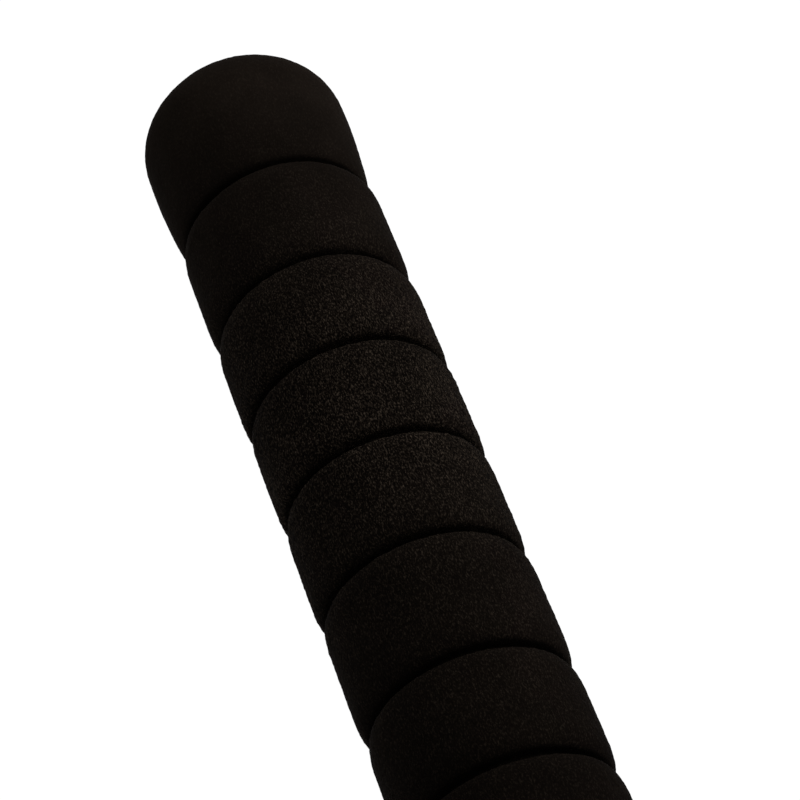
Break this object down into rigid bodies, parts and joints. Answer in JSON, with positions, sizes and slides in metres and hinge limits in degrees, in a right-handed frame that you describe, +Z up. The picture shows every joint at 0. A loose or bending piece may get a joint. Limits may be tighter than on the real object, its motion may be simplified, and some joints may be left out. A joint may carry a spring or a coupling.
{
  "type": "jump rope handle",
  "caption": "Ribbed black foam jump rope handle with a domed butt, and a ball bearing swivel barrel that holds the rope at its other end.",
  "frame": {"origin": "middle of the handle's length, on the surface it lies on, under its axis", "axes": "+X along the handle from the domed butt to the end the rope leaves, +Z up from the surface it lies on"},
  "size_m": [0.1794, 0.0304, 0.0304],
  "materials": {
    "grip_foam": "near-black closed-cell foam, matt, fine open pores",
    "tube_plastic": "natural polypropylene, extruded",
    "plug_plastic": "black moulded polyethylene",
    "cap_plastic": "black ABS, fine spark texture",
    "seal_rubber": "black nitrile rubber",
    "ring_steel": "ground bearing steel",
    "cage_steel": "pressed steel",
    "shield_steel": "pressed steel, satin",
    "ball_steel": "polished bearing steel",
    "barrel_aluminium": "turned and satin anodised",
    "screw_steel": "black oxide",
    "washer_steel": "zinc plated",
    "circlip_steel": "phosphated spring steel"
  },
  "bodies": {
    "handle": {"foam_grip": "grip_foam", "core_tube": "tube_plastic", "butt_plug": "plug_plastic", "nose_cap": "cap_plastic", "dust_seal": "seal_rubber", "bearing_outer_ring": "ring_steel", "bearing_rear_shield": "shield_steel", "bearing_front_shield": "shield_steel"},
    "swivel": {"swivel_barrel": "barrel_aluminium", "rope_clamp_screws": "screw_steel", "bearing_inner_ring": "ring_steel", "thrust_washer": "washer_steel", "circlip": "circlip_steel"},
    "ball_cage": {"bearing_cage": "cage_steel"},
    "ball_1": {"bearing_ball_1": "ball_steel"},
    "ball_2": {"bearing_ball_2": "ball_steel"},
    "ball_3": {"bearing_ball_3": "ball_steel"},
    "ball_4": {"bearing_ball_4": "ball_steel"},
    "ball_5": {"bearing_ball_5": "ball_steel"},
    "ball_6": {"bearing_ball_6": "ball_steel"},
    "ball_7": {"bearing_ball_7": "ball_steel"},
    "ball_8": {"bearing_ball_8": "ball_steel"},
    "ball_9": {"bearing_ball_9": "ball_steel"}
  },
  "joints": [
    {"name": "swivel_spin", "type": "hinge", "parent": "handle", "child": "swivel", "pos_m": [0.07425, 0, 0.0152], "axis": [1, 0, 0], "continuous": true},
    {"name": "cage_spin", "type": "hinge", "parent": "handle", "child": "ball_cage", "pos_m": [0.07425, 0, 0.0152], "axis": [1, 0, 0], "continuous": true},
    {"name": "ball_1_roll", "type": "hinge", "parent": "ball_cage", "child": "ball_1", "pos_m": [0.07425, 0, 0.0212], "axis": [1, 0, 0], "continuous": true},
    {"name": "ball_2_roll", "type": "hinge", "parent": "ball_cage", "child": "ball_2", "pos_m": [0.07425, 0.00386, 0.0198], "axis": [1, 0, 0], "continuous": true},
    {"name": "ball_3_roll", "type": "hinge", "parent": "ball_cage", "child": "ball_3", "pos_m": [0.07425, 0.00591, 0.01624], "axis": [1, 0, 0], "continuous": true},
    {"name": "ball_4_roll", "type": "hinge", "parent": "ball_cage", "child": "ball_4", "pos_m": [0.07425, 0.0052, 0.0122], "axis": [1, 0, 0], "continuous": true},
    {"name": "ball_5_roll", "type": "hinge", "parent": "ball_cage", "child": "ball_5", "pos_m": [0.07425, 0.00205, 0.00956], "axis": [1, 0, 0], "continuous": true},
    {"name": "ball_6_roll", "type": "hinge", "parent": "ball_cage", "child": "ball_6", "pos_m": [0.07425, -0.00205, 0.00956], "axis": [1, 0, 0], "continuous": true},
    {"name": "ball_7_roll", "type": "hinge", "parent": "ball_cage", "child": "ball_7", "pos_m": [0.07425, -0.0052, 0.0122], "axis": [1, 0, 0], "continuous": true},
    {"name": "ball_8_roll", "type": "hinge", "parent": "ball_cage", "child": "ball_8", "pos_m": [0.07425, -0.00591, 0.01624], "axis": [1, 0, 0], "continuous": true},
    {"name": "ball_9_roll", "type": "hinge", "parent": "ball_cage", "child": "ball_9", "pos_m": [0.07425, -0.00386, 0.0198], "axis": [1, 0, 0], "continuous": true}
  ],
  "couplings": [
    {"joint": "cage_spin", "follows": "swivel_spin", "ratio": 0.40083},
    {"joint": "ball_1_roll", "follows": "swivel_spin", "ratio": -2.4218},
    {"joint": "ball_2_roll", "follows": "swivel_spin", "ratio": -2.4218},
    {"joint": "ball_3_roll", "follows": "swivel_spin", "ratio": -2.4218},
    {"joint": "ball_4_roll", "follows": "swivel_spin", "ratio": -2.4218},
    {"joint": "ball_5_roll", "follows": "swivel_spin", "ratio": -2.4218},
    {"joint": "ball_6_roll", "follows": "swivel_spin", "ratio": -2.4218},
    {"joint": "ball_7_roll", "follows": "swivel_spin", "ratio": -2.4218},
    {"joint": "ball_8_roll", "follows": "swivel_spin", "ratio": -2.4218},
    {"joint": "ball_9_roll", "follows": "swivel_spin", "ratio": -2.4218}
  ]
}
